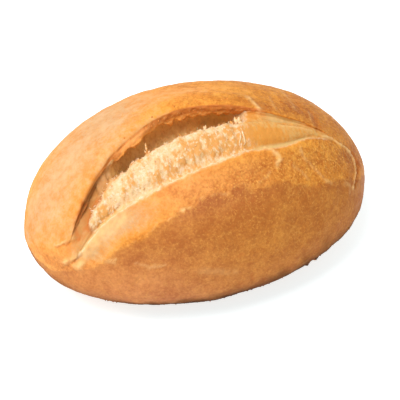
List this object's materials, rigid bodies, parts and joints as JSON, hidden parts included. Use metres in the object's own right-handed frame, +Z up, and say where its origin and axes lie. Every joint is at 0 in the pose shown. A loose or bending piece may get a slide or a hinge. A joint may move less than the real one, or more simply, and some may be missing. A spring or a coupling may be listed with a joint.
{
  "type": "scored bread roll",
  "caption": "Plump oval wheat bread roll on a flat base, torn open along one lengthwise score with a crumb ridge and a lifted crust lip.",
  "frame": {"origin": "middle of the flat base", "axes": "+X along the roll towards the end where the score closes high up, +Y to the far side, where the lifted lip is, +Z up"},
  "size_m": [0.1204, 0.0842, 0.0566],
  "materials": {
    "crust": "golden brown baked crust, satin on top and paler low on the side, with cream open crumb in the score and a darker rim on the torn lip"
  },
  "bodies": {
    "root": {"roll": "crust"}
  },
  "joints": []
}
